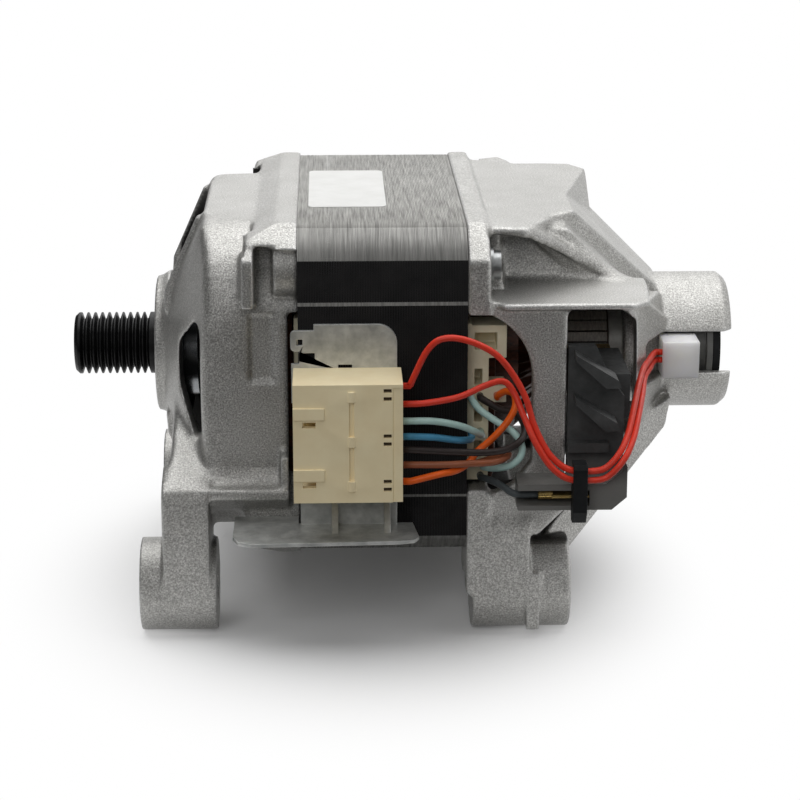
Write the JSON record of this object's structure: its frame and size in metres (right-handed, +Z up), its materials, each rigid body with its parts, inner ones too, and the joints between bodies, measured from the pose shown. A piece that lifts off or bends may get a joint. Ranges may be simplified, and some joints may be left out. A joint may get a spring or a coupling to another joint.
{
  "type": "washing machine motor",
  "caption": "Universal motor of a washing machine: die-cast end shields with feet round a laminated stack, belt pulley on the shaft, brushes, tacho hub and lead connector.",
  "frame": {"origin": "middle of the belt pulley on the shaft axis", "axes": "+X along the shaft from the pulley to the tacho end, +Y away from the connector side, +Z up with the feet below"},
  "size_m": [0.2177, 0.1817, 0.1321],
  "materials": {
    "cast_aluminium": "shot-blasted die casting",
    "lamination_steel": "dark varnished laminations",
    "copper_winding": "enamelled copper wire under varnish",
    "cream_plastic": "satin moulding",
    "galvanised_steel": "galvanised sheet",
    "zinc_steel": "zinc plated",
    "black_plastic": "satin moulding",
    "brass": "bright sheet",
    "carbon": "matt carbon",
    "spring_steel": "drawn wire",
    "bearing_steel": "ground and polished",
    "bearing_cage": "pressed sheet",
    "black_pulley": "black phosphated steel",
    "commutator_moulding": "phenolic moulding",
    "commutator_copper": "copper darkened by the brushes",
    "ferrite": "matt sintered",
    "white_plastic": "translucent moulding",
    "red_insulation": "semi-gloss lead insulation",
    "pale_blue_insulation": "semi-gloss lead insulation",
    "blue_insulation": "semi-gloss lead insulation",
    "black_insulation": "semi-gloss lead insulation",
    "brown_insulation": "semi-gloss lead insulation",
    "orange_insulation": "semi-gloss lead insulation",
    "grey_insulation": "semi-gloss lead insulation"
  },
  "bodies": {
    "stator": {"drive_end_shield": "cast_aluminium", "commutator_end_shield": "cast_aluminium", "stator_core": "lamination_steel", "near_field_coil": "copper_winding", "far_field_coil": "copper_winding", "near_coil_frame": "cream_plastic", "far_coil_frame": "cream_plastic", "drive_end_insulators": "cream_plastic", "through_bolts": "zinc_steel", "connector_bracket": "galvanised_steel", "connector_housing": "cream_plastic", "connector_blades": "brass", "near_brush_holder": "black_plastic", "far_brush_holder": "black_plastic", "near_brush_guide": "brass", "far_brush_guide": "brass", "near_brush_spring": "spring_steel", "far_brush_spring": "spring_steel", "brush_terminals": "brass", "brush_holder_screws": "zinc_steel", "lead_clip": "black_plastic", "front_bearing_outer_ring": "bearing_steel", "rear_bearing_outer_ring": "bearing_steel", "wave_washer": "zinc_steel", "tacho_coil": "copper_winding", "tacho_plug": "white_plastic", "tacho_cover": "black_plastic", "red_lead_upper": "red_insulation", "red_lead_lower": "red_insulation", "pale_blue_lead": "pale_blue_insulation", "blue_lead": "blue_insulation", "black_lead": "black_insulation", "brown_lead": "brown_insulation", "orange_lead": "orange_insulation", "pale_loop_lead": "pale_blue_insulation", "brush_lead": "grey_insulation"},
    "rotor": {"rotor_shaft": "bearing_steel", "belt_pulley": "black_pulley", "rotor_core": "lamination_steel", "rotor_winding": "copper_winding", "cooling_fan": "black_plastic", "commutator_moulding": "commutator_moulding", "commutator_bars": "commutator_copper", "commutator_collar": "bearing_steel", "front_bearing_inner_ring": "bearing_steel", "rear_bearing_inner_ring": "bearing_steel", "tacho_magnet": "ferrite"},
    "front_ball_set": {"front_bearing_balls": "bearing_steel", "front_bearing_cage": "bearing_cage"},
    "rear_ball_set": {"rear_bearing_balls": "bearing_steel", "rear_bearing_cage": "bearing_cage"},
    "near_brush": {"near_carbon_brush": "carbon"},
    "far_brush": {"far_carbon_brush": "carbon"}
  },
  "joints": [
    {"name": "rotor_spin", "type": "hinge", "parent": "stator", "child": "rotor", "pos_m": [0, 0, 0], "axis": [1, 0, 0], "continuous": true},
    {"name": "front_balls_spin", "type": "hinge", "parent": "stator", "child": "front_ball_set", "pos_m": [0.0225, 0, 0], "axis": [1, 0, 0], "continuous": true},
    {"name": "rear_balls_spin", "type": "hinge", "parent": "stator", "child": "rear_ball_set", "pos_m": [0.1752, 0, 0], "axis": [1, 0, 0], "continuous": true},
    {"name": "near_brush_slide", "type": "slide", "parent": "stator", "child": "near_brush", "axis": [0, -1, 0], "range_m": [0, 0.008], "stiffness_N_per_m": 300, "springref_m": -0.012, "deforming": ["near_brush_spring"]},
    {"name": "far_brush_slide", "type": "slide", "parent": "stator", "child": "far_brush", "axis": [0, 1, 0], "range_m": [0, 0.008], "stiffness_N_per_m": 300, "springref_m": -0.012, "deforming": ["far_brush_spring"]}
  ],
  "couplings": [
    {"joint": "front_balls_spin", "follows": "rotor_spin", "ratio": 0.38},
    {"joint": "rear_balls_spin", "follows": "rotor_spin", "ratio": 0.36364}
  ]
}
